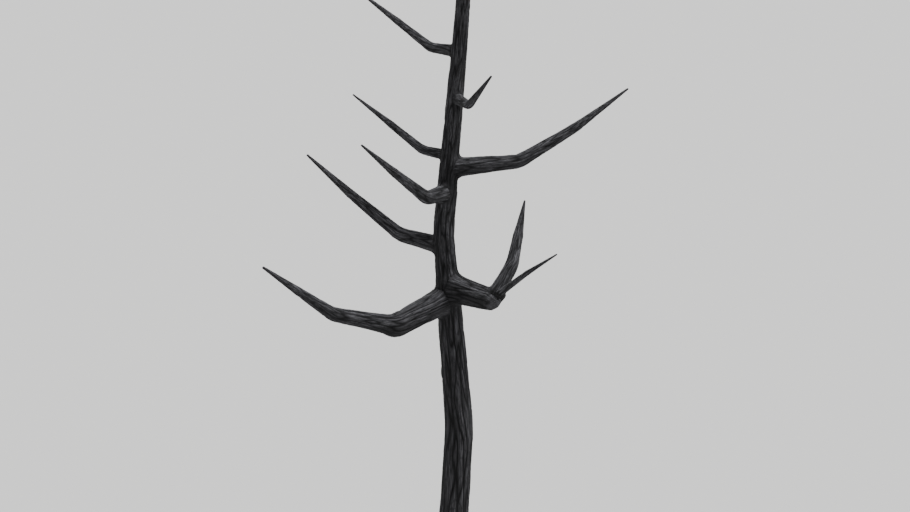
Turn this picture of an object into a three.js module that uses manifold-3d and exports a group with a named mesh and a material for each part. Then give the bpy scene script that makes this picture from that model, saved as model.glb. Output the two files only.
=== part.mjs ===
// A dead tree, bare of twigs and leaves, as an assembly of trunk and boughs.
// Millimetres, +Z up. The origin is on the ground, at the middle of the flat cut under the trunk.
// Headings are degrees anticlockwise from +X, seen from above. Rises are degrees above level.

import * as THREE from "three";
import { mergeVertices } from "three/addons/utils/BufferGeometryUtils.js";
import Module from "manifold-3d";

const wasm = await Module();
wasm.setup();

// ---------------------------------------------------------------- driving dimensions

const SEAM = 0.3; // clearance between a limb and what it grows from

// Trunk: where its middle passes at the ground, at each knee and at the tip.
const TRUNK_COURSE = [
  // height, x, y
  [0, 0, 0],
  [2180, 136, 30],
  [4180, -26, -20],
  [6500, 172, 30],
  [8300, 222, 60],
  [9900, 250, 30],
];
// Trunk: thickness across, which drops where the two heavy low boughs leave it.
const TRUNK_THICKNESS = [
  // height, thickness
  [0, 314],
  [2060, 290],
  [3300, 252],
  [3900, 218],
  [5000, 186],
  [6500, 142],
  [8300, 88],
  [9900, 20],
];
const TRUNK_HEIGHT = TRUNK_COURSE.at(-1)[0];
const TRUNK_SIDES = 24;
const TRUNK_RINGS = 50;
const RING_CROWDING = 1.5; // above 1, the rings crowd towards the root flare
const KNEE_ROUNDING = 160; // height above and below a knee over which it is rounded

// Root flare: how far the foot swells, in parts of the trunk's radius.
const FLARE_FADE = 210; // height over which the swelling fades to about a third
const FLARE_SWELL = 0.55;
const FLARE_LOBES = 5;
const LOBE_SWELL = 0.26;
const LOBE_UNEVENNESS = 0.12;

const ELBOW_ROUNDING = 55; // length of leg on either side of an elbow that is rounded off
const COLLAR_SWELL = 1.08; // a bough's thickness where it leaves the trunk
const HEEL_SHARE = 0.62; // thickness of a bough's buried heel, in parts of the trunk's
const TIP_FLATNESS = 0.35; // radius left at the very end of a rounded tip
const RING_SPACING = 68;
const HEAVY_THICKNESS = 150; // limbs at least this thick at the root get more sides
const HEAVY_SIDES = 12;
const LIGHT_SIDES = 9;

// Boughs from the trunk. Each leg: length, rise, heading, thickness at its end.
const BOUGHS = [
  {
    name: "low_left_bough",
    height: 3545,
    thickness: 250,
    legs: [
      [692, -17, 218, 232],
      [110, 15, 206, 184],
      [572, 15, 206, 134],
      [458, 35.5, 212, 82],
      [462, 36, 214, 24],
    ],
  },
  { name: "low_right_bough", height: 3655, thickness: 266, legs: [[660, -5.5, 318, 206]] },
  {
    name: "mid_left_bough",
    height: 4068,
    thickness: 162,
    legs: [
      [519, 9, 152, 138],
      [730, 30.5, 146, 92],
      [689, 31, 142, 22],
    ],
  },
  {
    name: "front_left_bough",
    height: 4610,
    thickness: 156,
    legs: [
      [353, -2.5, 236, 128],
      [535, 33, 228, 84],
      [529, 35, 226, 18],
    ],
  },
  {
    name: "mid_right_bough",
    height: 4852,
    thickness: 176,
    legs: [
      [703, 6.5, 352, 136],
      [636, 31, 2, 92],
      [652, 36, 6, 18],
    ],
  },
  {
    name: "rear_left_bough",
    height: 4972,
    thickness: 98,
    legs: [
      [338, 7, 146, 92],
      [479, 28.5, 140, 70],
      [623, 25.5, 136, 16],
    ],
  },
  {
    name: "front_right_bough",
    height: 5550,
    thickness: 102,
    legs: [
      [361, -7.5, 292, 84],
      [568, 33.5, 296, 18],
    ],
  },
  {
    name: "high_left_bough",
    height: 6000,
    thickness: 112,
    legs: [
      [360, 4.5, 142, 94],
      [528, 27.5, 136, 68],
      [738, 25, 132, 16],
    ],
  },
];

// Limbs that fork from the blunt end of a bough. Their heel is buried this far back from it.
const FORKS = [
  {
    name: "low_right_riser",
    parent: "low_right_bough",
    heel: 62,
    thickness: 96,
    legs: [
      [95, 53, 37, 156],
      [305, 53, 37, 130],
      [320, 60, 66, 100],
      [395, 54, 72, 18],
    ],
  },
  {
    name: "low_right_spur",
    parent: "low_right_bough",
    heel: 62,
    thickness: 56,
    legs: [
      [110, 42, 318, 70],
      [434, 35.5, 318, 50],
      [399, 33, 326, 14],
    ],
  },
];

// Boughs on the far side of the trunk, straight behind it.
const REAR_BOUGHS = [
  // height, reach, thickness
  [3960, 1280, 128],
  [5250, 1080, 104],
  [6270, 960, 88],
];
const REAR_HEADING = 88;

// Upper boughs, which wind up the leader and shorten towards its tip.
const UPPER_COUNT = 8;
const UPPER_HEIGHTS = [6720, 9180]; // lowest, highest
const UPPER_REACH = [1280, 430];
const UPPER_THICKNESS = [88, 34];
const UPPER_FIRST_HEADING = 20;
const UPPER_TURN = 137.5; // from each bough to the next

// Legs of a rear or upper bough: share of its reach, rise, change of heading, share of thickness.
const COMMON_LEGS = [
  [0.27, 5, 0, 0.84],
  [0.36, 29, -4, 0.58],
  [0.37, 31, -7, 0.16],
];

const WOOD_COLOUR = 0x4b4b4e;

// ---------------------------------------------------------------- helpers

// The value in a table of rows at a place, straight between one row and the next.
function readTable(rows, place, column = 1) {
  const next = rows.findIndex((row) => row[0] >= place);
  if (next === 0) return rows[0][column];
  if (next < 0) return rows.at(-1)[column];
  const [low, high] = [rows[next - 1], rows[next]];
  const share = (place - low[0]) / (high[0] - low[0]);
  return THREE.MathUtils.lerp(low[column], high[column], share);
}

// The leg's end, seen from its start.
function legVector(length, rise, heading) {
  const up = THREE.MathUtils.degToRad(rise);
  const around = THREE.MathUtils.degToRad(heading);
  return new THREE.Vector3(
    length * Math.cos(up) * Math.cos(around),
    length * Math.cos(up) * Math.sin(around),
    length * Math.sin(up),
  );
}

// A closed geometry as a solid that can be cut.
function solidOf(geometry) {
  geometry.deleteAttribute("normal");
  geometry.deleteAttribute("uv");
  const merged = mergeVertices(geometry, 1e-4);
  const mesh = new wasm.Mesh({
    numProp: 3,
    vertProperties: merged.attributes.position.array,
    triVerts: new Uint32Array(merged.index.array),
  });
  return new wasm.Manifold(mesh);
}

// A solid as a geometry, moved so that the given point is its origin.
function geometryOf(solid, origin) {
  const mesh = solid.getMesh();
  const geometry = new THREE.BufferGeometry();
  geometry.setAttribute("position", new THREE.BufferAttribute(mesh.vertProperties, 3));
  geometry.setIndex(new THREE.BufferAttribute(mesh.triVerts, 1));
  geometry.translate(-origin.x, -origin.y, -origin.z);
  geometry.computeVertexNormals();
  return geometry;
}

function largestPiece(solid) {
  const pieces = solid.decompose();
  return pieces.reduce((most, piece) => (piece.volume() > most.volume() ? piece : most));
}

// ---------------------------------------------------------------- trunk

// The middle of the trunk at a height, with each knee rounded by averaging across it.
function trunkMiddle(height) {
  const reach = Math.min(KNEE_ROUNDING, height, TRUNK_HEIGHT - height);
  const middle = new THREE.Vector3(0, 0, height);
  const samples = [-1, -0.5, 0, 0.5, 1];
  for (const sample of samples) {
    middle.x += readTable(TRUNK_COURSE, height + sample * reach, 1) / samples.length;
    middle.y += readTable(TRUNK_COURSE, height + sample * reach, 2) / samples.length;
  }
  return middle;
}

// The trunk's radius at a height and an angle, lobed where the roots leave it.
function trunkRadius(height, angle) {
  const radius = readTable(TRUNK_THICKNESS, height) / 2;
  const lobes = LOBE_SWELL * Math.cos(FLARE_LOBES * angle + 0.6);
  const unevenness = LOBE_UNEVENNESS * Math.cos(2 * angle - 0.9);
  const flare = Math.exp(-height / FLARE_FADE) * (FLARE_SWELL + lobes + unevenness);
  return radius * (1 + flare);
}

// The trunk from its flat cut to its tip, in level rings.
function trunkSolid(growth = 0) {
  const geometry = new THREE.CylinderGeometry(1, 1, 1, TRUNK_SIDES, TRUNK_RINGS);
  const position = geometry.attributes.position;
  for (let i = 0; i < position.count; i++) {
    const [x, y, z] = [position.getX(i), position.getY(i), position.getZ(i)];
    const height = TRUNK_HEIGHT * Math.pow(y + 0.5, RING_CROWDING);
    const radius = trunkRadius(height, Math.atan2(-z, x)) + growth;
    const middle = trunkMiddle(height);
    position.setXYZ(i, middle.x + x * radius, middle.y - z * radius, height);
  }
  return solidOf(geometry);
}

// ---------------------------------------------------------------- limbs

// A limb's course: straight legs, with each elbow between them rounded off.
function courseOf(start, legs) {
  const corners = [start];
  for (const [length, rise, heading] of legs) {
    corners.push(corners.at(-1).clone().add(legVector(length, rise, heading)));
  }
  const course = new THREE.CurvePath();
  let from = start;
  for (let i = 1; i < corners.length - 1; i++) {
    const elbow = corners[i];
    const towards = (corner) => {
      const share = Math.min(0.45, ELBOW_ROUNDING / elbow.distanceTo(corner));
      return elbow.clone().lerp(corner, share);
    };
    const bendStart = towards(corners[i - 1]);
    const bendEnd = towards(corners[i + 1]);
    course.add(new THREE.LineCurve3(from, bendStart));
    course.add(new THREE.QuadraticBezierCurve3(bendStart, elbow, bendEnd));
    from = bendEnd;
  }
  course.add(new THREE.LineCurve3(from, corners.at(-1)));
  return course;
}

// Rows of distance along the limb and thickness there.
function thicknessRows(heelThickness, rootRow, legs) {
  const rows = [[0, heelThickness]];
  if (rootRow) rows.push(rootRow);
  let distance = 0;
  for (const [length, , , thickness] of legs) {
    distance += length;
    rows.push([distance, thickness]);
  }
  return rows;
}

// One tapering limb with a rounded tip, closed at both ends.
function limbSolid(course, rows, sides, growth = 0) {
  const legsLength = rows.at(-1)[0];
  const tipRadius = rows.at(-1)[1] / 2;
  const rings = Math.round(legsLength / RING_SPACING);
  const geometry = new THREE.CylinderGeometry(1, 1, 1, sides, rings);
  const position = geometry.attributes.position;
  const up = new THREE.Vector3(0, 0, 1);
  for (let i = 0; i < position.count; i++) {
    const [x, y, z] = [position.getX(i), position.getY(i), position.getZ(i)];
    const share = THREE.MathUtils.clamp(y + 0.5, 0, 1);
    const fromTip = legsLength * (1 - share);
    const intoTip = Math.max(0, 1 - fromTip / tipRadius);
    const rounding = Math.max(TIP_FLATNESS, Math.sqrt(1 - intoTip * intoTip));
    const radius = (readTable(rows, legsLength * share) / 2) * rounding + growth;
    const along = course.getTangentAt(share);
    const sideways = along.clone().cross(up).normalize();
    const upwards = sideways.clone().cross(along);
    const point = course.getPointAt(share);
    point.addScaledVector(along, share === 0 ? -growth : growth * (share === 1));
    point.addScaledVector(sideways, x * radius);
    point.addScaledVector(upwards, z * radius);
    position.setXYZ(i, point.x, point.y, point.z);
  }
  return solidOf(geometry);
}

// ---------------------------------------------------------------- assembly

const tree = new THREE.Group();
const crown = new THREE.Group();
tree.add(crown);

function addNode(group, name, solid, origin) {
  const material = new THREE.MeshStandardMaterial({
    color: WOOD_COLOUR,
    roughness: 0.9,
    metalness: 0,
  });
  const mesh = new THREE.Mesh(geometryOf(solid, origin), material);
  mesh.name = name;
  mesh.position.copy(origin);
  group.add(mesh);
}

addNode(tree, "trunk", trunkSolid(), new THREE.Vector3());

// Every limb is cut clear of the trunk and of the limbs placed before it.
const cutters = [trunkSolid(SEAM)];
const courses = new Map();

function placeLimb(name, start, legs, rows) {
  const sides = Math.max(...rows.map((row) => row[1])) < HEAVY_THICKNESS ? LIGHT_SIDES : HEAVY_SIDES;
  const course = courseOf(start, legs);
  const whole = limbSolid(course, rows, sides);
  const cut = cutters.reduce((limb, cutter) => limb.subtract(cutter), whole);
  addNode(crown, name, largestPiece(cut), start);
  cutters.push(limbSolid(course, rows, sides, SEAM));
  courses.set(name, course);
}

function placeBough(name, height, thickness, legs) {
  const trunkThickness = readTable(TRUNK_THICKNESS, height);
  const heel = Math.min(thickness, trunkThickness * HEEL_SHARE);
  const root = [trunkThickness / 2, thickness * COLLAR_SWELL];
  placeLimb(name, trunkMiddle(height), legs, thicknessRows(heel, root, legs));
}

function commonLegs(reach, heading, thickness) {
  return COMMON_LEGS.map(([share, rise, turn, taper]) => [
    reach * share,
    rise,
    heading + turn,
    thickness * taper,
  ]);
}

for (const { name, height, thickness, legs } of BOUGHS) {
  placeBough(name, height, thickness, legs);
}

for (const { name, parent, heel, thickness, legs } of FORKS) {
  const parentCourse = courses.get(parent);
  const start = parentCourse.getPointAt(1 - heel / parentCourse.getLength());
  placeLimb(name, start, legs, thicknessRows(thickness, null, legs));
}

REAR_BOUGHS.forEach(([height, reach, thickness], i) => {
  placeBough(`rear_bough_${i + 1}`, height, thickness, commonLegs(reach, REAR_HEADING, thickness));
});

for (let i = 0; i < UPPER_COUNT; i++) {
  const share = i / (UPPER_COUNT - 1);
  const height = THREE.MathUtils.lerp(...UPPER_HEIGHTS, share);
  const reach = THREE.MathUtils.lerp(...UPPER_REACH, share);
  const thickness = THREE.MathUtils.lerp(...UPPER_THICKNESS, share);
  const heading = UPPER_FIRST_HEADING + i * UPPER_TURN;
  placeBough(`upper_bough_${i + 1}`, height, thickness, commonLegs(reach, heading, thickness));
}

export default tree;
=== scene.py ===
"""A dead tree's bark and wood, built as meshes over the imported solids. Metres, +Z up.

Headings are degrees anticlockwise from +X, seen from above. Rises are degrees above level.
"""

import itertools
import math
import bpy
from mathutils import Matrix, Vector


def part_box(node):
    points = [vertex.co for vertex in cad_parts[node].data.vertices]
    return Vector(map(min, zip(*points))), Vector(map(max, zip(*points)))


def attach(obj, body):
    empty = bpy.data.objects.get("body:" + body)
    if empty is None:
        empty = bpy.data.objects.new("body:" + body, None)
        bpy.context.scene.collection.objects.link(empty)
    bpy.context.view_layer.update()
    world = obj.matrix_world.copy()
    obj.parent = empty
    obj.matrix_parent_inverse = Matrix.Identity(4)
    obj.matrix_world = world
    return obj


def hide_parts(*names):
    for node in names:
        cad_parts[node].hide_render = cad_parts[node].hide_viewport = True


bl_info = {
    "name": "Dead Tree Bark",
    "version": (1, 0, 0),
    "blender": (4, 5, 0),
    "location": "3D View > Sidebar > Dead Tree",
    "description": "Builds the bark of a bare dead tree, limb by limb, and a plain stage for it",
    "category": "Object",
}

import bpy
import numpy as np
from bpy.props import FloatProperty, FloatVectorProperty, IntProperty, PointerProperty

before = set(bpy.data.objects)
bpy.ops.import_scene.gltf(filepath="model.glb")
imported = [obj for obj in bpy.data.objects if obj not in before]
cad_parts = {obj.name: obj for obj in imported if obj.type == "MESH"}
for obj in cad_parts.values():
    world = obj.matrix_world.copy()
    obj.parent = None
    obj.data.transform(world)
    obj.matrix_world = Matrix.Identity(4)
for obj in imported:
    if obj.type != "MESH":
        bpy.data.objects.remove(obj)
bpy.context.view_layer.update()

TREE_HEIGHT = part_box("trunk")[1].z

# -------- the tree's own sizes

# Where the trunk's middle passes at the ground, at each knee and at the tip.
TRUNK_COURSE = np.array(
    [
        # height, x, y
        [0.0, 0.0, 0.0],
        [2.18, 0.136, 0.03],
        [4.18, -0.026, -0.02],
        [6.5, 0.172, 0.03],
        [8.3, 0.222, 0.06],
        [9.9, 0.25, 0.03],
    ]
)
TRUNK_THICKNESS = np.array(
    [
        # height, thickness
        [0.0, 0.314],
        [2.06, 0.29],
        [3.3, 0.252],
        [3.9, 0.218],
        [5.0, 0.186],
        [6.5, 0.142],
        [8.3, 0.088],
        [9.9, 0.02],
    ]
)
KNEE_ROUNDING = 0.16  # height above and below over which the course is averaged
FLARE_FADE = 0.21  # height by which the flare falls to about a third
FLARE_SWELL = 0.55  # in parts of the plain radius, as are the next swellings
FLARE_LOBES = 5
LOBE_SWELL = 0.26
LOBE_TURN = 0.6  # radians
LOBE_UNEVENNESS = 0.12
UNEVENNESS_TURN = 0.9  # radians
TRUNK_POINTS = 67

ELBOW_ROUNDING = 0.055  # how far before and after an elbow the bend reaches
MOST_ROUNDED = 0.45  # of a short leg, at each of its ends
ELBOW_POINTS = 9
COLLAR_SWELL = 1.08  # thickness where a bough leaves the trunk, in parts of its own
HEEL_SHARE = 0.62  # most that a bough's buried end has of the trunk's thickness

# The trunk's bark is in lengths, each a mesh of its own: name, top, sides, rings.
TRUNK_LENGTHS = [
    ("trunk_foot_bark", 2.95, 256, 370),
    ("trunk_middle_bark", 6.48, 256, 385),
    ("trunk_leader_bark", None, 128, 420),
]

# Boughs from the trunk: name, height, thickness, then legs of length, rise, heading, end thickness.
BOUGHS = [
    ("low_left_bough", 3.545, 0.25, [
        (0.692, -17, 218, 0.232),
        (0.11, 15, 206, 0.184),
        (0.572, 15, 206, 0.134),
        (0.458, 35.5, 212, 0.082),
        (0.462, 36, 214, 0.024),
    ]),
    ("low_right_bough", 3.655, 0.266, [
        (0.66, -5.5, 318, 0.206),
    ]),
    ("mid_left_bough", 4.068, 0.162, [
        (0.519, 9, 152, 0.138),
        (0.73, 30.5, 146, 0.092),
        (0.689, 31, 142, 0.022),
    ]),
    ("front_left_bough", 4.61, 0.156, [
        (0.353, -2.5, 236, 0.128),
        (0.535, 33, 228, 0.084),
        (0.529, 35, 226, 0.018),
    ]),
    ("mid_right_bough", 4.852, 0.176, [
        (0.703, 6.5, 352, 0.136),
        (0.636, 31, 2, 0.092),
        (0.652, 36, 6, 0.018),
    ]),
    ("rear_left_bough", 4.972, 0.098, [
        (0.338, 7, 146, 0.092),
        (0.479, 28.5, 140, 0.07),
        (0.623, 25.5, 136, 0.016),
    ]),
    ("front_right_bough", 5.55, 0.102, [
        (0.361, -7.5, 292, 0.084),
        (0.568, 33.5, 296, 0.018),
    ]),
    ("high_left_bough", 6.0, 0.112, [
        (0.36, 4.5, 142, 0.094),
        (0.528, 27.5, 136, 0.068),
        (0.738, 25, 132, 0.016),
    ]),
]

# Limbs that fork from a bough's blunt end: name, parent, buried length, heel thickness, legs.
FORKS = [
    ("low_right_riser", "low_right_bough", 0.062, 0.15, [
        (0.095, 53, 37, 0.156),
        (0.305, 53, 37, 0.13),
        (0.32, 60, 66, 0.1),
        (0.395, 54, 72, 0.018),
    ]),
    ("low_right_spur", "low_right_bough", 0.062, 0.056, [
        (0.11, 42, 318, 0.07),
        (0.434, 35.5, 318, 0.05),
        (0.399, 33, 326, 0.014),
    ]),
]

# Boughs on the far side: height, reach, thickness.
REAR_BOUGHS = [(3.96, 1.28, 0.128), (5.25, 1.08, 0.104), (6.27, 0.96, 0.088)]
REAR_HEADING = 88

# Boughs up the leader: their count, then each size from the lowest bough to the highest.
UPPER_COUNT = 8
UPPER_HEIGHTS = (6.72, 9.18)
UPPER_REACH = (1.28, 0.43)
UPPER_THICKNESS = (0.088, 0.034)
UPPER_FIRST_HEADING = 20
UPPER_TURN = 137.5

# Legs of a rear or upper bough: share of its reach, rise, change of heading, share of thickness.
COMMON_LEGS = [(0.27, 5, 0, 0.84), (0.36, 29, -4, 0.58), (0.37, 31, -7, 0.16)]

# -------- joints, folds, wear and faces

NEIGHBOUR_GAP = 0.1  # limbs that start closer than this grow together
DRAW_RANGE = 1.3  # how far off a limb still draws another out, in parts of the joint's reach
PAST_SEAM = 1.2  # how far past a seam that goes on, in the same parts
JOINT_ROUNDS = 9
RELIEF_LOST = 0.7  # of the bark's relief, at a seam
PAINTED_SEAM_SHADE = 0.3  # painted shade in the crease where limbs meet: how much darker a seam is, in parts of a furrow's height
# painted shade that is deeper in the wrinkles at a seam
PAINTED_WRINKLE_SHADE = 0.2
WRINKLES_PER_METRE = (26, 26, 44)  # over both limbs where they meet
WRINKLE_WIDTH = 0.25
WRINKLE_DEPTH = 0.006

ELBOW_SWELL = 0.035  # in parts of the radius
ELBOW_SWELL_WIDTH = 1.1
FOLD_SPACING = 0.16  # in parts of the bough's root radius
FOLD_HEIGHT = 0.018
FOLD_WAVER = 1.4  # radians, twice round the bough
ELBOW_FOLDS = 0.6  # their height, in parts of the collar's
ELBOW_FOLD_WIDTH = 0.9

AGEING_RADII = (0.05, 0.11)  # a bough's bark gets older as it thickens between these
TIP_WEAR_AND_HIGHLIGHT = 0.5  # how much paler a worn tip or a blunt end is, in parts of a furrow's height, partly a painted highlight on the end's face
LEAST_TIP_RADIUS = 0.02  # in parts of the limb's radius

FACE_WIDTH = 0.0053  # of a limb's mesh faces, around it
FACE_LENGTH = 0.0092  # and along it
LEAST_SIDES = 20
DENSE_ROOT = 4  # root radii over which a bough's rings are closer together
DENSE_ROOT_SPACING = 0.5
TIP_SPACING = 0.3  # of rings near a tip, in parts of the length that is left
LEAST_SPACING = 0.004  # in parts of the tip's radius
FINE_STEPS = 20000  # for working out where the rings are
GRAIN_STEPS = 1000  # for working out how the grain's length changes
LEAST_GRAIN_RADIUS = 0.012  # thinner wood has grain as long as here
TINY = 1e-12  # divisors are no smaller
NUDGE = 0.02  # how far before and after a place a bough's direction is taken
UV_MARGIN = 0.004

SEEDS_PER_LIMB = 40
KNOT_SEED = 20
WRINKLE_SEED = 3

# -------- settings


class DEADTREE_PG_bark(bpy.types.PropertyGroup):
    """Relief of the bark and the wood under it."""

    furrow_depth: FloatProperty(
        name="Furrow Depth",
        description="Depth of the bark's long furrows, in parts of the limb's radius",
        default=0.1,
        min=0.0,
        max=0.3,
        subtype="FACTOR",
    )
    furrows_around: FloatProperty(
        name="Furrows Around",
        description="About how many long furrows lie side by side around a limb",
        default=19.0,
        min=4.0,
        max=60.0,
    )
    furrow_length: FloatProperty(
        name="Furrow Length",
        description="Usual length of a furrow, in parts of the limb's radius",
        default=3.2,
        min=0.5,
        max=12.0,
    )
    twist: FloatProperty(
        name="Grain Twist",
        description="How far the grain winds around a limb in each metre of its length",
        default=math.radians(7),
        subtype="ANGLE",
        unit="ROTATION",
    )
    hollow_depth: FloatProperty(
        name="Hollow Depth",
        description="Depth of the broad hollows along the wood, in parts of the radius",
        default=0.03,
        min=0.0,
        max=0.3,
        subtype="FACTOR",
    )
    knot_height: FloatProperty(
        name="Knot Height",
        description="How far a healed knot stands out, in parts of the limb's radius",
        default=0.06,
        min=0.0,
        max=0.5,
        subtype="FACTOR",
    )
    knots: FloatProperty(
        name="Knots",
        description="How many healed knots there are in each metre of a limb",
        default=1.4,
        min=0.0,
    )
    joint_reach: FloatProperty(
        name="Joint Reach",
        description="Spread of the hollow where limbs meet, in parts of the thinner one's radius",
        default=0.65,
        min=0.01,
        max=2.0,
        subtype="FACTOR",
    )
    seed: IntProperty(
        name="Seed",
        description="Picks one pattern of furrows and knots",
        default=7,
        min=0,
    )


class DEADTREE_PG_finish(bpy.types.PropertyGroup):
    """Colours of the dry, weathered wood."""

    furrow_colour: FloatVectorProperty(
        name="Furrow Colour",
        description="Colour deep in a furrow",
        default=(0.009, 0.009, 0.0099),
        min=0.0,
        max=1.0,
        subtype="COLOR",
    )
    bark_colour: FloatVectorProperty(
        name="Bark Colour",
        description="Colour of most of the surface",
        default=(0.091, 0.09, 0.098),
        min=0.0,
        max=1.0,
        subtype="COLOR",
    )
    crest_colour: FloatVectorProperty(
        name="Crest Colour",
        description="Colour of the weathered crests between furrows",
        default=(0.273, 0.27, 0.294),
        min=0.0,
        max=1.0,
        subtype="COLOR",
    )
    old_bark_shade: FloatProperty(
        name="Old Bark Shade",
        description="Brightness of the old bark on thick limbs, in parts of a thin bough's",
        default=0.62,
        min=0.0,
        max=1.0,
        subtype="FACTOR",
    )
    # Painted light and shade from above, with some sun bleaching: bark that faces down is made
    # darker than bark that faces up.
    painted_underside_shade: FloatProperty(
        name="Underside Shade",
        description="Brightness of bark that faces down, in parts of where the sun bleaches it",
        default=0.6,
        min=0.0,
        max=1.0,
        subtype="FACTOR",
    )
    bump_height: FloatProperty(
        name="Bump Height",
        description="Height of the fibres and fine cracks",
        default=0.007,
        min=0.0,
        unit="LENGTH",
    )
    roughness: FloatProperty(
        name="Roughness",
        description="Roughness of the dry surface",
        default=0.86,
        min=0.0,
        max=1.0,
        subtype="FACTOR",
    )


class DEADTREE_PG_stage(bpy.types.PropertyGroup):
    """Floor, light and camera."""

    floor_colour: FloatVectorProperty(
        name="Floor Colour",
        description="Colour of the plain floor",
        default=(0.58, 0.58, 0.575),
        min=0.0,
        max=1.0,
        subtype="COLOR",
    )
    floor_radius: FloatProperty(
        name="Floor Radius",
        description="Radius of the round floor",
        default=60 * TREE_HEIGHT,
        unit="LENGTH",
    )
    horizon_strength: FloatProperty(
        name="Horizon Strength",
        description="Strength of the pale light from low all around, which matches the floor",
        default=1.15,
        min=0.0,
    )
    overhead_strength: FloatProperty(
        name="Overhead Strength",
        description="Strength of the even light from overhead",
        default=0.3,
        min=0.0,
    )
    key_strength: FloatProperty(
        name="Key Strength",
        description="Strength of the soft key light",
        default=4.9,
        min=0.0,
    )
    rim_share: FloatProperty(
        name="Rim Share",
        description="Strength of the soft light from behind, in parts of the key light's",
        default=0.3,
        min=0.0,
        subtype="FACTOR",
    )
    softness: FloatProperty(
        name="Softness",
        description="How wide the key light and the light from behind look from the tree",
        default=math.radians(18),
        subtype="ANGLE",
        unit="ROTATION",
    )
    camera_distance: FloatProperty(
        name="Camera Distance",
        description="From the camera to the point that it looks at",
        default=1.787 * TREE_HEIGHT,
        unit="LENGTH",
    )
    camera_elevation: FloatProperty(
        name="Camera Elevation",
        description="How far the camera looks down",
        default=math.radians(10),
        subtype="ANGLE",
        unit="ROTATION",
    )
    target_height: FloatProperty(
        name="Target Height",
        description="Height of the point that the camera looks at",
        default=0.4007 * TREE_HEIGHT,
        unit="LENGTH",
    )
    target_side: FloatProperty(
        name="Target Side",
        description="How far that point lies to the right of the trunk's foot",
        default=0.0091 * TREE_HEIGHT,
        unit="LENGTH",
    )
    focal_length: FloatProperty(
        name="Focal Length",
        description="Focal length on a full-frame sensor, in millimetres",
        default=70.0,
    )


# -------- noise

SLOPE_COUNT = 256
SLOPE_SEED = 11
SLOPES = np.random.default_rng(SLOPE_SEED).normal(size=(SLOPE_COUNT, 3))
SLOPES /= np.linalg.norm(SLOPES, axis=1, keepdims=True)
CELL_FACTORS = (73856093, 19349663, 83492791)
SEED_FACTOR = 2654435761
HASH_MASK = 0xFFFFFFFF
HASH_STIR = 2246822519
HASH_SHIFTS = (15, 13)
NOISE_GAIN = 1.7
VALLEY_STEEPNESS = 1.5


def lattice_slopes(cells, seed):
    """A fixed but random-looking slope at each lattice point."""
    mixed = np.full(len(cells), seed * SEED_FACTOR, np.int64)
    for axis, factor in enumerate(CELL_FACTORS):
        mixed ^= cells[:, axis] * factor
    mixed &= HASH_MASK
    mixed = ((mixed ^ (mixed >> HASH_SHIFTS[0])) * HASH_STIR) & HASH_MASK
    return SLOPES[(mixed >> HASH_SHIFTS[1]) % SLOPE_COUNT]


def noise(points, seed):
    """Smooth noise, about -1 to 1, that varies over one unit."""
    cells = np.floor(points).astype(np.int64)
    inside = points - cells
    fade = inside**3 * (inside * (inside * 6 - 15) + 10)
    total = np.zeros(len(points))
    for corner in itertools.product((0, 1), repeat=3):
        offset = np.array(corner)
        height = ((inside - offset) * lattice_slopes(cells + offset, seed)).sum(1)
        total += height * np.where(offset, fade, 1 - fade).prod(1)
    return total * NOISE_GAIN


def valleys(values, width):
    """1 along the lines where the noise crosses nought, falling to 0 beyond the width."""
    return np.exp(-((np.abs(values) / width) ** VALLEY_STEEPNESS))


# -------- courses and thickness


def leg_vector(length, rise, heading):
    """From a straight leg's start to its end."""
    up, around = math.radians(rise), math.radians(heading)
    level = length * math.cos(up)
    return np.array([level * math.cos(around), level * math.sin(around), length * math.sin(up)])


def trunk_middle(heights):
    """The trunk's middle at each height, with the knees rounded by averaging across them."""
    heights = np.asarray(heights, float)
    reach = np.minimum(KNEE_ROUNDING, np.minimum(heights, TREE_HEIGHT - heights).clip(0))
    middle = np.zeros(heights.shape + (3,))
    samples = (-1, -0.5, 0, 0.5, 1)
    for sample in samples:
        for axis in (0, 1):
            at = np.interp(heights + sample * reach, TRUNK_COURSE[:, 0], TRUNK_COURSE[:, axis + 1])
            middle[..., axis] += at / len(samples)
    middle[..., 2] = heights
    return middle


def trunk_flare(heights, angles):
    """How far the foot swells at each height and angle, in parts of the plain radius."""
    lobes = LOBE_SWELL * np.cos(FLARE_LOBES * angles + LOBE_TURN)
    unevenness = LOBE_UNEVENNESS * np.cos(2 * angles - UNEVENNESS_TURN)
    return np.exp(-heights / FLARE_FADE) * (FLARE_SWELL + lobes + unevenness)


def rounded_course(start, legs):
    """Points along straight legs, with each elbow between them rounded off."""
    corners = [np.array(start, float)]
    for length, rise, heading, _ in legs:
        corners.append(corners[-1] + leg_vector(length, rise, heading))
    points = [corners[0]]
    for before, elbow, after in zip(corners, corners[1:], corners[2:]):
        bend = []
        for corner in (before, after):
            length = np.linalg.norm(corner - elbow)
            bend.append(elbow + (corner - elbow) * min(MOST_ROUNDED, ELBOW_ROUNDING / length))
        for share in np.linspace(0, 1, ELBOW_POINTS):
            near = bend[0] * (1 - share) + elbow * share
            far = elbow * (1 - share) + bend[1] * share
            points.append(near * (1 - share) + far * share)
    points.append(corners[-1])
    return np.array(points)


def bough_age(radius):
    """How old and dark a bough's bark is where it has this radius: 0 where thin, 1 as the trunk."""
    return np.interp(radius, AGEING_RADII, (0, 1))


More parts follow.
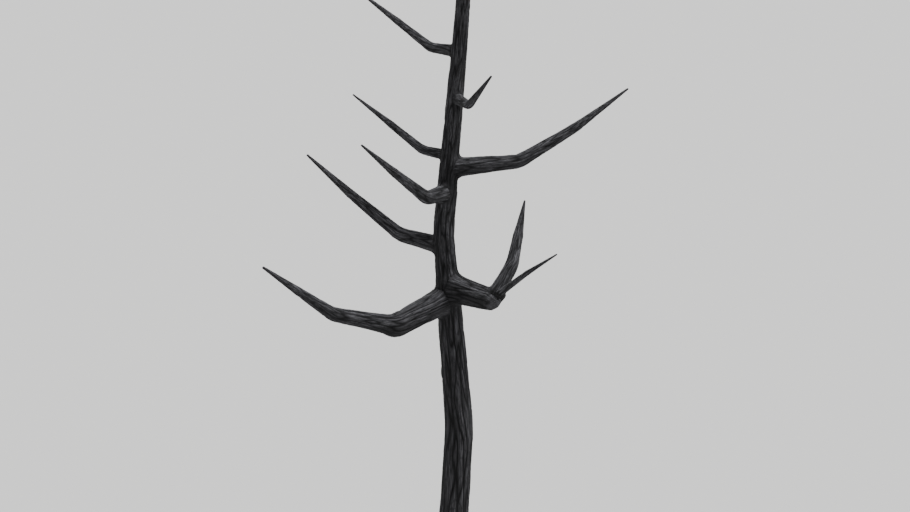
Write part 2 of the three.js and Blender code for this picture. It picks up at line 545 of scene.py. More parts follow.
class Limb:
    """The trunk or a bough: the points of its middle, and rows of distance and radius.

    Distances are measured along the straight legs, and heights serve as distances on the trunk.
    """

    def __init__(self, name, course, radius_rows, legs=()):
        self.name = name
        self.course = course
        self.distances, self.radii = np.array(radius_rows, float).T
        steps = np.linalg.norm(np.diff(course, axis=0), axis=1)
        self.course_length = steps.sum()
        self.reached = np.concatenate([[0], np.cumsum(steps)]) / self.course_length
        self.length = self.distances[-1]
        self.elbows = list(itertools.accumulate(leg[0] for leg in legs))[:-1]
        self.root_radius = self.radii[:2].max()
        self.age = 1.0 if name == "trunk" else bough_age(self.root_radius)
        stops = np.union1d(self.reached * self.length, self.distances)
        self.stops, self.stop_radii = self.place(stops), self.radius(stops)
        self.seed = 0

    def radius(self, distances):
        return np.interp(distances, self.distances, self.radii)

    def place(self, distances):
        """The middle at each distance along the limb."""
        shares = np.asarray(distances) / self.length
        return np.stack([np.interp(shares, self.reached, xyz) for xyz in self.course.T], -1)

    def clearance(self, places):
        """How far each place is outside the limb's plain surface, or less than 0 inside it."""
        best = np.full(len(places), np.inf)
        radii = self.stop_radii
        for start, end, r0, r1 in zip(self.stops, self.stops[1:], radii, radii[1:]):
            step = end - start
            share = (((places - start) @ step) / max(step @ step, TINY)).clip(0, 1)
            gap = np.linalg.norm(places - start - share[:, None] * step, axis=1)
            best = np.minimum(best, gap - (r0 + (r1 - r0) * share))
        return best

    def meets(self, other):
        """Whether the two limbs grow together: one starts in the other, or close beside it."""
        gaps = self.clearance(other.course[:1]), other.clearance(self.course[:1])
        return self is not other and min(gaps)[0] < NEIGHBOUR_GAP


# -------- the tree's limbs


def make_trunk():
    heights = np.linspace(0, TREE_HEIGHT, TRUNK_POINTS)
    rows = [(height, thickness / 2) for height, thickness in TRUNK_THICKNESS]
    return Limb("trunk", trunk_middle(heights), rows)


def make_bough(name, height, thickness, legs):
    """A bough whose heel is buried in the trunk's middle and whose collar swells at the surface."""
    trunk_thickness = float(np.interp(height, *TRUNK_THICKNESS.T))
    heel = min(thickness, trunk_thickness * HEEL_SHARE)
    rows = [(0, heel / 2), (trunk_thickness / 2, thickness * COLLAR_SWELL / 2)]
    return Limb(name, rounded_course(trunk_middle(height), legs), rows + leg_rows(legs), legs)


def make_fork(name, parent, buried, thickness, legs):
    """A limb that starts a little way back from its parent's blunt end."""
    back = buried / parent.course_length * parent.length
    start = parent.place(parent.length - back)
    return Limb(name, rounded_course(start, legs), [(0, thickness / 2)] + leg_rows(legs), legs)


def leg_rows(legs):
    """Rows of distance and radius at each leg's end."""
    reached = itertools.accumulate(leg[0] for leg in legs)
    return [(distance, leg[3] / 2) for distance, leg in zip(reached, legs)]


def common_legs(reach, heading, thickness):
    """The legs that all rear and upper boughs share, at this reach and thickness."""
    return [
        (reach * share, rise, heading + turn, thickness * taper)
        for share, rise, turn, taper in COMMON_LEGS
    ]


def rear_boughs():
    return [
        (f"rear_bough_{i + 1}", height, thickness, common_legs(reach, REAR_HEADING, thickness))
        for i, (height, reach, thickness) in enumerate(REAR_BOUGHS)
    ]


def upper_boughs():
    boughs = []
    for i, share in enumerate(np.linspace(0, 1, UPPER_COUNT)):
        height, reach, thickness = [
            low + (high - low) * share
            for low, high in (UPPER_HEIGHTS, UPPER_REACH, UPPER_THICKNESS)
        ]
        legs = common_legs(reach, UPPER_FIRST_HEADING + i * UPPER_TURN, thickness)
        boughs.append((f"upper_bough_{i + 1}", height, thickness, legs))
    return boughs


def all_limbs():
    """Every limb by name, in a fixed order, each with a seed of its own."""
    limbs = [make_trunk()]
    limbs += [make_bough(*bough) for bough in BOUGHS + rear_boughs() + upper_boughs()]
    by_name = {limb.name: limb for limb in limbs}
    for name, parent, *rest in FORKS:
        by_name[name] = make_fork(name, by_name[parent], *rest)
    for i, limb in enumerate(by_name.values()):
        limb.seed = SEEDS_PER_LIMB * i
    return by_name


LIMBS = all_limbs()

# -------- bark

# The bark's patterns: how many to a furrow's width around, how many to its length along, shift.
WANDER = (0.35, 0.8, 0.0)
DRIFT = (0.35, 0.8, 5.5)
FURROWS = (0.9, 0.8, 0.0)
LESSER_FURROWS = (2.1, 1.4, 9.1)
BREAKS = (1.1, 4.4, 4.7)
PLATES = (1.2, 1.1, 2.9)
FLAKES = (5.2, 3.0, 0.0)
PATCHES = (0.3, 0.45, 2.3)

WARP = np.array([0.6, 0.6, 0.18])  # of the grain, around and along
FURROW_WIDTH = 0.17
LESSER_WIDTH = 0.15
BREAK_WIDTH = 0.08
LESSER_DEPTH = 0.45  # in parts of a furrow's depth
BREAK_DEPTH = 0.35
CREST_HEIGHT = 0.62  # above a furrow's floor, where plates and flakes add nothing
PLATE_RISE = 0.2
FLAKE_RISE = 0.13
PATCH_EDGE = 3  # how sharply deep bark gives way to shallow
SHALLOWEST = 0.6  # relief of the shallowest bark, in parts of the deepest's
RELIEF_SPAN = 1.6  # in furrow depths, from the floor to a height of 1
FLOOR_DEPTH = 0.75  # in furrow depths, below the plain surface
DULLEST = 0.75  # height of shallow bark, as the finish sees it, in parts of deep bark's
HOLLOWS_AROUND = 1.1
HOLLOWS_ALONG = 0.385

KNOT_STRETCH = (0.15, 0.8)  # the shares of a limb's length between which it has knots
KNOT_WIDTHS = (0.22, 0.4)  # radians around the limb
KNOT_LENGTH = 1.4  # in parts of its width
KNOT_RING = 1.4  # radius of the ring round a knot, in parts of the knot's
KNOT_RING_DEPTH = 0.5  # in parts of the knot's height
KNOT_RING_WIDTH = 0.1


def layer(grain, pattern, seed):
    """Noise of one of the bark's patterns, at places in grain coordinates."""
    around, along, shift = pattern
    return noise(grain * (around, around, along) + shift, seed)


def bark(limb, angles, distances, dome, settings):
    """Relief in parts of the radius, height from furrow (0) to crest (1), and grain coordinates.

    angles has one value per side; distances and dome, which falls from 1 to 0 over the tip, one
    per ring. What comes back has one per point. One unit of the grain is a furrow's width around
    and its usual length along.
    """
    seed = settings.seed + limb.seed
    fine = np.linspace(0, limb.length, GRAIN_STEPS)
    lengths = settings.furrow_length * limb.radius(fine).clip(LEAST_GRAIN_RADIUS)
    wound = np.concatenate([[0], np.cumsum(np.diff(fine) / lengths[1:])])
    tall = np.repeat(np.interp(distances, fine, wound), len(angles))
    turn = (angles + settings.twist * distances[:, None]).ravel()
    width = np.repeat(dome, len(angles))
    circle = np.stack([np.cos(turn) * width, np.sin(turn) * width], -1)
    grain = np.column_stack([circle * settings.furrows_around / (2 * math.pi), tall])

    wander = layer(grain, WANDER, seed)
    drift = layer(grain, DRIFT, seed + 1)
    warped = grain + WARP * np.stack([wander, drift, wander], -1)
    furrows = valleys(layer(warped, FURROWS, seed + 2), FURROW_WIDTH)
    lesser = valleys(layer(warped, LESSER_FURROWS, seed + 3), LESSER_WIDTH)
    breaks = valleys(layer(warped, BREAKS, seed + 4), BREAK_WIDTH)
    plates = layer(warped, PLATES, seed + 5)
    flakes = layer(warped, FLAKES, seed + 6)
    patches = 0.5 + 0.5 * np.tanh(PATCH_EDGE * layer(grain, PATCHES, seed + 7))

    raised = CREST_HEIGHT + PLATE_RISE * plates + FLAKE_RISE * flakes
    height = raised * (1 - furrows) * (1 - LESSER_DEPTH * lesser) * (1 - BREAK_DEPTH * breaks)
    deeper = SHALLOWEST + (1 - SHALLOWEST) * patches
    relief = settings.furrow_depth * deeper * (RELIEF_SPAN * height - FLOOR_DEPTH)

    broad = np.column_stack([HOLLOWS_AROUND * circle, HOLLOWS_ALONG * tall])
    relief += settings.hollow_depth * noise(broad, seed + 8)
    return relief, height.clip(0, 1) * (DULLEST + (1 - DULLEST) * patches), grain


def knots(limb, angles, distances, settings):
    """Healed knots: low bumps with a ring around each, in parts of the radius."""
    rng = np.random.default_rng(settings.seed + limb.seed + KNOT_SEED)
    relief = np.zeros((len(distances), len(angles)))
    radii = limb.radius(distances)
    for _ in range(int(settings.knots * limb.length)):
        angle = rng.uniform(-math.pi, math.pi)
        distance = limb.length * rng.uniform(*KNOT_STRETCH)
        width = rng.uniform(*KNOT_WIDTHS)
        turn = (angles - angle + math.pi) % (2 * math.pi) - math.pi
        along = (distances - distance) / (radii * width * KNOT_LENGTH)
        far = np.hypot(turn / width, along[:, None])
        ring = np.exp(-((far - KNOT_RING) ** 2) / KNOT_RING_WIDTH)
        relief += settings.knot_height * (np.exp(-(far**2)) - KNOT_RING_DEPTH * ring)
    return relief.ravel()


def joints(limb, places, outward, settings):
    """How far a surface is drawn out to the limbs it meets, how near a seam is, and its bark's age.

    Both surfaces are drawn to the same smooth hollow. Past the seam each dips inside the other.
    The age is that of the other limbs' bark, which spreads across the seam.
    """
    drawn, nearness, age = np.zeros((3, len(places)))
    for other in LIMBS.values():
        if not limb.meets(other):
            continue
        reach = settings.joint_reach * min(limb.root_radius, other.root_radius)
        low, high = other.course.min(0), other.course.max(0)
        margin = other.root_radius + DRAW_RANGE * reach
        close = ((places > low - margin) & (places < high + margin)).all(1).nonzero()[0]
        close = close[other.clearance(places[close]) < DRAW_RANGE * reach]
        part = np.zeros(len(close))  # how far each place is drawn, found by going round and round
        for _ in range(JOINT_ROUNDS):
            gap = other.clearance(places[close] + outward[close] * part[:, None])
            share = (1 - (gap - part) / reach).clip(0)
            past = (share - 1).clip(0, PAST_SEAM)
            # The draw grows smoothly to just past the seam, and then turns into a dip.
            aim = np.where(share < 1, share**2, 1 + 2 * past - 3 * past**2)
            part = (part + aim * reach / 4) / 2
        further = np.abs(part) > np.abs(drawn[close])
        drawn[close[further]] = part[further]
        near = share.clip(0, 1) ** 2
        nearness[close] = np.maximum(nearness[close], near)
        age[close] = np.maximum(age[close], near * other.age)
    return drawn, nearness, age


# -------- skin


def plain_radius(limb, distances, into_tip):
    """The radius along a limb, domed at the tip and a little swollen at each elbow."""
    radii = limb.radius(distances) * np.sqrt(1 - into_tip**2).clip(LEAST_TIP_RADIUS)
    for elbow in limb.elbows:
        width = ELBOW_SWELL_WIDTH * limb.radius(elbow)
        radii *= 1 + ELBOW_SWELL * np.exp(-(((distances - elbow) / width) ** 2))
    return radii


def level_frames(limb, distances):
    """The trunk's middle at each ring, and three directions: two level ones and up."""
    return trunk_middle(distances), *np.tile(np.eye(3)[:, None], (1, len(distances), 1))


def square_frames(limb, distances):
    """A bough's middle at each ring, and three directions: sideways, up and ahead."""
    ahead = limb.place(np.minimum(distances + NUDGE, limb.length))
    ahead = ahead - limb.place(np.maximum(distances - NUDGE, 0))
    ahead /= np.linalg.norm(ahead, axis=1, keepdims=True)
    sideways = np.cross(ahead, [0, 0, 1])
    sideways /= np.linalg.norm(sideways, axis=1, keepdims=True)
    return limb.place(distances), sideways, np.cross(sideways, ahead), ahead


def skin(limb, distances, sides, settings):
    """Rings of points around a limb, anticlockwise, and fields of the bark at each point.

    The fields are height from furrow (0) to crest (1), lowered for painted shade in the creases at
    seams and raised at tips for wear and a painted highlight, age from young (0) to old (1), and
    grain.
    """
    angles = np.arange(sides) * 2 * math.pi / sides
    is_trunk = limb.name == "trunk"
    middle, across, up, ahead = (level_frames if is_trunk else square_frames)(limb, distances)
    around = np.cos(angles)[:, None] * across[:, None] + np.sin(angles)[:, None] * up[:, None]
    into_tip = (1 - (limb.length - distances) / limb.radii[-1]).clip(0, 1)
    plain = np.repeat(plain_radius(limb, distances, into_tip), sides)
    radii = plain.copy()
    if is_trunk:
        radii *= 1 + trunk_flare(distances[:, None], angles).ravel()
    places = np.repeat(middle, sides, axis=0) + around.reshape(-1, 3) * radii[:, None]
    lean = into_tip[:, None, None]
    outward = (around * np.sqrt(1 - lean**2) + ahead[:, None] * lean).reshape(-1, 3)

    drawn, nearness, age = joints(limb, places, outward, settings)
    dome = np.sqrt(1 - into_tip**2)
    relief, height, grain = bark(limb, angles, distances, dome, settings)
    relief += knots(limb, angles, distances, settings)
    if not is_trunk:
        relief += folds(limb, angles, distances, nearness)
    wrinkles = valleys(noise(places * WRINKLES_PER_METRE, WRINKLE_SEED), WRINKLE_WIDTH)
    out = drawn + relief * plain * (1 - RELIEF_LOST * nearness)
    out -= WRINKLE_DEPTH * wrinkles * nearness
    places += outward * out[:, None]

    # Painted shade in the crease where limbs meet, deeper in its wrinkles, lowers the height that
    # the finish sees; tips and blunt ends are raised, paler, for worn end wood and a painted
    # highlight.
    painted_crease_shade = nearness**3 * (PAINTED_SEAM_SHADE + PAINTED_WRINKLE_SHADE * wrinkles)
    height = height * (1 - painted_crease_shade) + TIP_WEAR_AND_HIGHLIGHT * (into_tip**2).repeat(sides)
    own_age = np.ones(len(distances)) if is_trunk else bough_age(limb.radius(distances))
    age = np.maximum(age, own_age.repeat(sides))
    fields = {"height": height, "age": age, "grain": grain}
    return places.reshape(len(distances), sides, 3), fields


def folds(limb, angles, distances, nearness):
    """Folds round a bough's collar and on the underside of each elbow, in parts of the radius."""
    phase = distances[:, None] / (FOLD_SPACING * limb.root_radius)
    waves = np.sin(phase * 2 * math.pi + FOLD_WAVER * np.sin(2 * angles + limb.seed))
    strength = nearness.reshape(waves.shape)
    for elbow in limb.elbows:
        width = ELBOW_FOLD_WIDTH * limb.radius(elbow)
        near = np.exp(-(((distances - elbow) / width) ** 2))
        beneath = 0.5 - 0.5 * np.sin(angles)
        strength = strength + ELBOW_FOLDS * near[:, None] * beneath
    return (FOLD_HEIGHT * waves * strength).ravel()


def outward_normals(grid):
    """The surface's normal at each point of rings of points."""
    around = np.roll(grid, -1, 1) - np.roll(grid, 1, 1)
    along = np.gradient(grid, axis=0)
    normals = np.cross(around, along)
    return normals / np.linalg.norm(normals, axis=-1, keepdims=True).clip(TINY)


def tube_faces(rings, sides):
    """The corners of a tube's quads and of the fans that shut its ends, and each face's count.

    The fans' middles come after all the rings' points, the foot's first.
    """
    side = np.arange(sides)
    after = (side + 1) % sides
    ring = np.arange(rings - 1)[:, None] * sides
    quads = np.stack([ring + side, ring + after, ring + after + sides, ring + side + sides], -1)
    foot, top, last = rings * sides, rings * sides + 1, (rings - 1) * sides
    foot_fan = np.stack([np.full(sides, foot), after, side], -1)
    top_fan = np.stack([np.full(sides, top), last + side, last + after], -1)
    corners = np.concatenate([quads.ravel(), foot_fan.ravel(), top_fan.ravel()])
    return corners, np.repeat([4, 3], [(rings - 1) * sides, 2 * sides])


def tube_map(shares, sides):
    """UV places of the same corners: once across the map around the tube, and up it by shares."""
    u = np.arange(sides + 1) / sides
    v = UV_MARGIN + (1 - 2 * UV_MARGIN) * shares
    middle = np.full(sides, 0.5)
    quad_u = np.tile(np.stack([u[:-1], u[1:], u[1:], u[:-1]], -1), (len(shares) - 1, 1, 1))
    quad_v = np.repeat(np.stack([v[:-1], v[:-1], v[1:], v[1:]], -1), sides, axis=0)
    foot_u = np.stack([middle, u[1:], u[:-1]], -1)
    foot_v = np.tile([v[0] - UV_MARGIN, v[0], v[0]], sides)
    top_u = np.stack([middle, u[:-1], u[1:]], -1)
    top_v = np.tile([v[-1] + UV_MARGIN, v[-1], v[-1]], sides)
    all_u = np.concatenate([quad_u.ravel(), foot_u.ravel(), top_u.ravel()])
    all_v = np.concatenate([quad_v.ravel(), foot_v, top_v])
    return np.stack([all_u, all_v], -1)


def tube_mesh(name, grid, normals, fields, shares):
    """A closed tube from rings of points, with smooth shading, attributes and a UV map.

    fields have a value for each point, and shares are the rings' places up the map, 0 to 1.
    """
    rings, sides = grid.shape[:2]
    points = np.concatenate([grid.reshape(-1, 3), grid[[0, -1]].mean(1)])
    corners, counts = tube_faces(rings, sides)
    mesh = bpy.data.meshes.new(name)
    mesh.vertices.add(len(points))
    mesh.vertices.foreach_set("co", points.astype(np.float32).ravel())
    mesh.loops.add(len(corners))
    mesh.loops.foreach_set("vertex_index", corners.astype(np.int32))
    mesh.polygons.add(len(counts))
    starts = np.concatenate([[0], np.cumsum(counts)[:-1]])
    mesh.polygons.foreach_set("loop_start", starts.astype(np.int32))
    mesh.update(calc_edges=True)

    for field, values in fields.items():
        kind, key = ("FLOAT", "value") if values.ndim == 1 else ("FLOAT_VECTOR", "vector")
        ends = [values[:sides].mean(0), values[-sides:].mean(0)]
        attribute = mesh.attributes.new(field, kind, "POINT")
        attribute.data.foreach_set(key, np.concatenate([values, ends]).astype(np.float32).ravel())

    uv_map = mesh.uv_layers.new(name="OFBake")
    uv_map.uv.foreach_set("vector", tube_map(shares, sides).astype(np.float32).ravel())

    mesh.validate()
    mesh.polygons.foreach_set("use_smooth", np.ones(len(counts), bool))
    ends = np.stack([grid[0].mean(0) - grid[1].mean(0), grid[-1].mean(0) - grid[-2].mean(0)])
    ends /= np.linalg.norm(ends, axis=1, keepdims=True)
    mesh.normals_split_custom_set_from_vertices(np.concatenate([normals.reshape(-1, 3), ends]))
    return mesh


def place_piece(mesh, material, node):
    """Puts a mesh in the scene as a piece that stands for a node."""
    piece = bpy.data.objects.new(mesh.name, mesh)
    bpy.context.scene.collection.objects.link(piece)
    mesh.materials.append(material)
    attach(piece, "root")
    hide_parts(node)


# -------- trunk


class DEADTREE_OT_build_trunk(bpy.types.Operator):
    """Build the trunk's bark from the flat cut to the tip, in three lengths"""

    bl_idname = "dead_tree.build_trunk"
    bl_label = "Build Trunk"

    def execute(self, context):
        settings = context.scene.dead_tree_bark
        material = bark_material("trunk_bark", context.scene.dead_tree_finish)
        trunk = LIMBS["trunk"]
        low = 0.0
        for name, top, sides, rings in TRUNK_LENGTHS:
            high = top or TREE_HEIGHT
            step = (high - low) / rings
            heights = np.linspace(low, high, rings + 1)
            # One more ring past each seam, so that the normals agree across it.
            below = [low - step] if low > 0 else []
            above = [high + step] if top else []
            grid, fields = skin(trunk, np.concatenate([below, heights, above]), sides, settings)
            own = slice(len(below), len(below) + rings + 1)
            points = slice(own.start * sides, own.stop * sides)
            fields = {field: values[points] for field, values in fields.items()}
            shares = np.linspace(0, 1, rings + 1)
            mesh = tube_mesh(name, grid[own], outward_normals(grid)[own], fields, shares)
            place_piece(mesh, material, "trunk")
            low = high
        return {"FINISHED"}


# -------- boughs


def ring_distances(limb):
    """Distances of a bough's rings: closer together near its root and towards its tip."""
    fine = np.linspace(0, limb.length, FINE_STEPS)
    from_root = (fine / (DENSE_ROOT * limb.root_radius)).clip(0, 1)
    spacing = FACE_LENGTH * (DENSE_ROOT_SPACING + (1 - DENSE_ROOT_SPACING) * from_root)
    near_tip = TIP_SPACING * (limb.length - fine) + LEAST_SPACING * limb.radii[-1]
    spacing = np.minimum(spacing, near_tip)
    reached = np.concatenate([[0], np.cumsum(np.diff(fine) / spacing[1:])])
    return np.interp(np.linspace(0, reached[-1], int(reached[-1]) + 2), reached, fine)


def build_bough(name, context):
    """Makes one bough's bark, with faces of about the same size whatever its thickness."""
    limb = LIMBS[name]
    sides = max(LEAST_SIDES, int(2 * math.pi * limb.radii.max() / FACE_WIDTH))
    distances = ring_distances(limb)
    grid, fields = skin(limb, distances, sides, context.scene.dead_tree_bark)
    normals = outward_normals(grid)
    mesh = tube_mesh(name + "_bark", grid, normals, fields, distances / limb.length)
    material = bark_material("bough_bark", context.scene.dead_tree_finish)
    place_piece(mesh, material, name)


class DEADTREE_OT_build_boughs(bpy.types.Operator):
    """Build the main boughs' bark, and the two limbs that fork from the low right bough"""

    bl_idname = "dead_tree.build_boughs"
    bl_label = "Build Main Boughs"

    def execute(self, context):
        for name, *_ in BOUGHS + FORKS:
            build_bough(name, context)
        return {"FINISHED"}


class DEADTREE_OT_build_rear_boughs(bpy.types.Operator):
    """Build the bark of the boughs on the far side of the trunk"""

    bl_idname = "dead_tree.build_rear_boughs"
    bl_label = "Build Rear Boughs"

    def execute(self, context):
        for name, *_ in rear_boughs():
            build_bough(name, context)
        return {"FINISHED"}


class DEADTREE_OT_build_upper_boughs(bpy.types.Operator):
    """Build the bark of the upper boughs, which wind up the leader"""

    bl_idname = "dead_tree.build_upper_boughs"
    bl_label = "Build Upper Boughs"

    def execute(self, context):
        for name, *_ in upper_boughs():
            build_bough(name, context)
        return {"FINISHED"}


# -------- materials

# Noise in the finish: how many to a furrow's width, how many times longer along it, detail.
STREAKS = (7.0, 3.0, 5.0)
FIBRES = (22.0, 6.0, 4.0)
BLOTCHES = (0.7, 1.2, 3.0)
CRACKING = (3.4, 3.6, 2.0)
FINISH_NOISE_ROUGHNESS = 0.6

# Ranges over which one look gives way to the next.
CRACK_EDGE = (0.0, 0.028)  # how far the cracking noise is from its middle
STREAK_EDGE = (0.35, 0.65)
FURROW_TO_BARK = (0.05, 0.55)  # heights, as are the next two
BARK_TO_CREST = (0.45, 0.9)
BLOTCH_EDGE = (0.5, 0.75)
PAINTED_SHADE_TO_LIGHT = (-0.2, 0.7)  # how far up the surface faces, from painted shade on the underside to painted light on top
SHEEN_EDGE = (0.3, 0.7)

FIBROUSNESS = 1.1  # how far streaks shift the heights at which looks change
BLOTCH_SHADE = 0.35
CRACK_SHADE = 0.55
ROUGHNESS_SPREAD = 0.08
SHINE = 0.2
FIBRE_BUMP = 0.7  # in parts of the streaks' bump, as is the next
CRACK_BUMP = 0.45
BUMP_STRENGTH = 0.8


class Nodes:
    """Short ways to add nodes to one material or world and link them."""

    def __init__(self, owner):
        owner.use_nodes = True
        self.nodes, self.links = owner.node_tree.nodes, owner.node_tree.links
        self.shader = self.nodes.get("Principled BSDF") or self.nodes["Background"]

    def add(self, kind, inputs, output, **settings):
        """A new node's output. Its inputs are given by name, as a value or another's output."""
        node = self.nodes.new(kind)
        for name, value in settings.items():
            setattr(node, name, value)
        for name, value in inputs.items():
            self.feed(value, node.inputs[name])
        return node.outputs[output]

    def feed(self, value, socket):
        if isinstance(value, bpy.types.NodeSocket):
            self.links.new(value, socket)
        else:
            socket.default_value = value

    def attribute(self, name, output):
        return self.add("ShaderNodeAttribute", {}, output, attribute_name=name)

    def math(self, operation, first, second=0.0):
        return self.add("ShaderNodeMath", {0: first, 1: second}, "Value", operation=operation)

    def span(self, value, low, high, to_low=0.0, to_high=1.0):
        """The value, moved evenly from one range to another and held within it."""
        ranges = {"From Min": low, "From Max": high, "To Min": to_low, "To Max": to_high}
        return self.add("ShaderNodeMapRange", {"Value": value, **ranges}, "Result")

    def mix(self, factor, first, second):
        """The first colour where the factor is 0 and the second where it is 1."""
        colours = {"Factor": factor, "A": first, "B": second}
        return self.add("ShaderNodeMix", colours, "Result", data_type="RGBA")

    def noise(self, vector, scale, stretch, detail):
        """Noise along the grain: how many to a unit of it, how many times longer, and detail."""
        placed = {"Vector": vector, "Scale": (scale, scale, scale / stretch)}
        at = self.add("ShaderNodeMapping", placed, "Vector")
        look = {"Vector": at, "Scale": 1.0, "Detail": detail, "Roughness": FINISH_NOISE_ROUGHNESS}
        return self.add("ShaderNodeTexNoise", look, "Fac")


def bark_material(name, finish):
    """Dry, matt, weathered bark: dark furrows and pale crests, paler where it faces up and darker
    where it faces down, painted light and shade from above with some sun bleaching.
    """
    if name in bpy.data.materials:
        return bpy.data.materials[name]
    material = bpy.data.materials.new(name)
    tree = Nodes(material)
    height = tree.attribute("height", "Fac")
    grain = tree.attribute("grain", "Vector")
    streaks = tree.noise(grain, *STREAKS)
    fibres = tree.noise(grain, *FIBRES)
    blotches = tree.noise(grain, *BLOTCHES)
    cracking = tree.noise(grain, *CRACKING)
    off_line = tree.math("ABSOLUTE", tree.math("SUBTRACT", cracking, 0.5))
    uncracked = tree.span(off_line, *CRACK_EDGE)

    furrow, bark, crest = [
        (*colour, 1.0) for colour in (finish.furrow_colour, finish.bark_colour, finish.crest_colour)
    ]
    fibrous = tree.math("MULTIPLY", tree.math("SUBTRACT", streaks, 0.5), FIBROUSNESS)
    worn = tree.math("ADD", height, fibrous)
    streaked = tree.span(streaks, *STREAK_EDGE)
    pale = tree.math("MULTIPLY", tree.span(worn, *BARK_TO_CREST), streaked)
    colour = tree.mix(tree.span(worn, *FURROW_TO_BARK), furrow, bark)
    colour = tree.mix(pale, colour, crest)
    colour = tree.mix(tree.span(blotches, *BLOTCH_EDGE, 0.0, BLOTCH_SHADE), colour, furrow)
    colour = tree.mix(tree.span(uncracked, 0.0, 1.0, CRACK_SHADE, 0.0), colour, furrow)

    # Painted light and shade from above: the colour is paler where the surface faces up and darker
    # where it faces down.
    facing = tree.add("ShaderNodeNewGeometry", {}, "Normal")
    upward = tree.add("ShaderNodeSeparateXYZ", {"Vector": facing}, "Z")
    painted_top_light = tree.span(upward, *PAINTED_SHADE_TO_LIGHT, finish.painted_underside_shade, 1.0)
    aged = tree.span(tree.attribute("age", "Fac"), 0.0, 1.0, 1.0, finish.old_bark_shade)
    scaled = {"Vector": colour, "Scale": tree.math("MULTIPLY", aged, painted_top_light)}
    colour = tree.add("ShaderNodeVectorMath", scaled, "Vector", operation="SCALE")
    tree.feed(colour, tree.shader.inputs["Base Color"])

    smoothest = finish.roughness - ROUGHNESS_SPREAD
    roughest = finish.roughness + ROUGHNESS_SPREAD
    rough = tree.span(streaks, *SHEEN_EDGE, smoothest, roughest)
    tree.feed(rough, tree.shader.inputs["Roughness"])
    tree.feed(SHINE, tree.shader.inputs["Specular IOR Level"])

    fine = tree.math("ADD", streaks, tree.math("MULTIPLY", fibres, FIBRE_BUMP))
    fine = tree.math("ADD", fine, tree.math("MULTIPLY", uncracked, CRACK_BUMP))
    bump = {"Strength": BUMP_STRENGTH, "Distance": finish.bump_height, "Height": fine}
    tree.feed(tree.add("ShaderNodeBump", bump, "Normal"), tree.shader.inputs["Normal"])
    return material


def chalky_material(name, colour):
    """One plain colour with no shine at all, so that it looks the same from every side."""
    material = bpy.data.materials.new(name)
    shader = Nodes(material).shader
    shader.inputs["Base Color"].default_value = (*colour, 1.0)
    shader.inputs["Roughness"].default_value = 1.0
    shader.inputs["Specular IOR Level"].default_value = 0.0
    return material


# -------- stage

SURROUND_DIMS_BETWEEN = (0.13, 0.5)  # sines of the angles above level
FLOOR_SIDES = 96
FLOOR_DROP = 0.001
KEY_PLACE = (64, -8)  # the light's elevation and heading in degrees
RIM_PLACE = (24, 112)
CAMERA_REACH = 10  # how far the camera sees, in parts of the floor's radius


def add_sun(name, strength, softness, elevation, heading):
    """A soft distant light that comes from a heading and an elevation, in degrees."""
    light = bpy.data.lights.new(name, "SUN")
    light.energy = strength
    light.angle = softness
    lamp = bpy.data.objects.new(name, light)
    lamp.rotation_euler = (math.radians(90 - elevation), 0, math.radians(heading + 90))
    bpy.context.scene.collection.objects.link(lamp)


def soft_surround(stage):
    """Even light from all around: pale down to the floor's edge and dimmer overhead."""
    world = bpy.data.worlds.new("soft_surround")
    tree = Nodes(world)
    direction = tree.add("ShaderNodeTexCoord", {}, "Generated")
    height = tree.add("ShaderNodeSeparateXYZ", {"Vector": direction}, "Z")
    strengths = stage.horizon_strength, stage.overhead_strength
    strength = tree.span(height, *SURROUND_DIMS_BETWEEN, *strengths)
    tree.feed(strength, tree.shader.inputs["Strength"])
    tree.feed((1.0, 1.0, 1.0, 1.0), tree.shader.inputs["Color"])
    return world


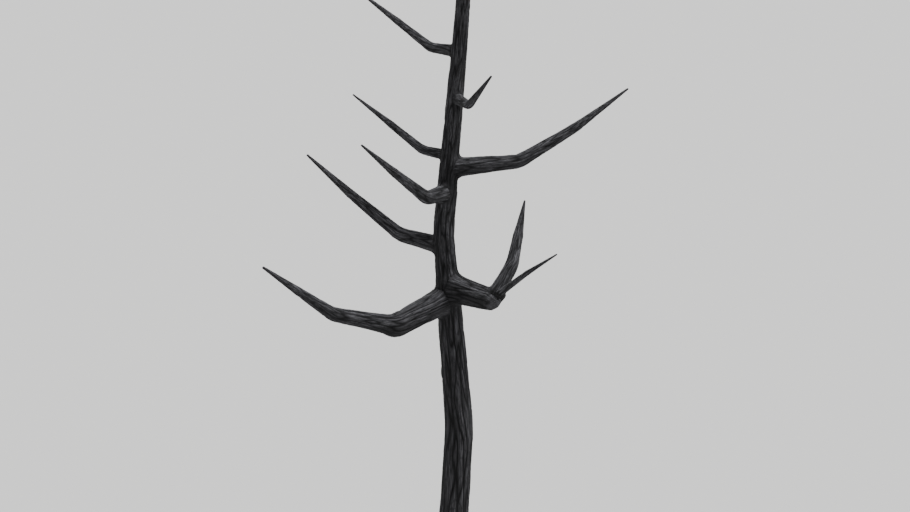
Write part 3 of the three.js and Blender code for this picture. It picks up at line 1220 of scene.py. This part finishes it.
class DEADTREE_OT_build_stage(bpy.types.Operator):
    """Set out the plain floor, the soft lights and the camera"""

    bl_idname = "dead_tree.build_stage"
    bl_label = "Build Stage"

    def execute(self, context):
        stage = context.scene.dead_tree_stage
        angles = np.linspace(0, 2 * math.pi, FLOOR_SIDES, endpoint=False)
        edge = np.full((FLOOR_SIDES, 3), -FLOOR_DROP)
        edge[:, 0] = stage.floor_radius * np.cos(angles)
        edge[:, 1] = stage.floor_radius * np.sin(angles)
        mesh = bpy.data.meshes.new("floor")
        mesh.from_pydata(edge.tolist(), [], [list(range(FLOOR_SIDES))])
        floor = bpy.data.objects.new("floor", mesh)
        context.scene.collection.objects.link(floor)
        mesh.materials.append(chalky_material("pale_floor", stage.floor_colour))

        context.scene.world = soft_surround(stage)

        rim_strength = stage.rim_share * stage.key_strength
        add_sun("key_light", stage.key_strength, stage.softness, *KEY_PLACE)
        add_sun("rim_light", rim_strength, stage.softness, *RIM_PLACE)

        camera = bpy.data.cameras.new("camera")
        camera.lens = stage.focal_length
        camera.clip_end = CAMERA_REACH * stage.floor_radius
        viewer = bpy.data.objects.new("camera", camera)
        down = stage.camera_elevation
        viewer.location = (
            stage.target_side,
            -stage.camera_distance * math.cos(down),
            stage.target_height + stage.camera_distance * math.sin(down),
        )
        viewer.rotation_euler = (math.pi / 2 - down, 0, 0)
        context.scene.collection.objects.link(viewer)
        context.scene.camera = viewer
        return {"FINISHED"}


# -------- panel and run


class DEADTREE_PT_sidebar(bpy.types.Panel):
    """Lists the settings and the builders"""

    bl_idname = "DEADTREE_PT_sidebar"
    bl_label = "Dead Tree"
    bl_space_type = "VIEW_3D"
    bl_region_type = "UI"
    bl_category = "Dead Tree"

    def draw(self, context):
        for title, settings, _ in SETTINGS:
            box = self.layout.box()
            box.label(text=title)
            group = getattr(context.scene, settings)
            for name in group.__annotations__:
                box.prop(group, name)
        for operator in OPERATORS:
            self.layout.operator(operator.bl_idname)


SETTINGS = [
    ("Bark", "dead_tree_bark", DEADTREE_PG_bark),
    ("Finish", "dead_tree_finish", DEADTREE_PG_finish),
    ("Stage", "dead_tree_stage", DEADTREE_PG_stage),
]
OPERATORS = [
    DEADTREE_OT_build_stage,
    DEADTREE_OT_build_trunk,
    DEADTREE_OT_build_boughs,
    DEADTREE_OT_build_rear_boughs,
    DEADTREE_OT_build_upper_boughs,
]


def register():
    """Makes the settings, the builders and the panel known."""
    for _, _, group in SETTINGS:
        bpy.utils.register_class(group)
    for operator in OPERATORS:
        bpy.utils.register_class(operator)
    bpy.utils.register_class(DEADTREE_PT_sidebar)
    for _, settings, group in SETTINGS:
        setattr(bpy.types.Scene, settings, PointerProperty(type=group))


def unregister():
    """Takes away what register made known, in the reverse order."""
    for _, settings, _ in SETTINGS:
        delattr(bpy.types.Scene, settings)
    bpy.utils.unregister_class(DEADTREE_PT_sidebar)
    for operator in reversed(OPERATORS):
        bpy.utils.unregister_class(operator)
    for _, _, group in reversed(SETTINGS):
        bpy.utils.unregister_class(group)


def main():
    """Builds the whole tree and its stage."""
    register()
    bpy.ops.dead_tree.build_stage()
    bpy.ops.dead_tree.build_trunk()
    bpy.ops.dead_tree.build_boughs()
    bpy.ops.dead_tree.build_rear_boughs()
    bpy.ops.dead_tree.build_upper_boughs()


if __name__ == "__main__":
    main()
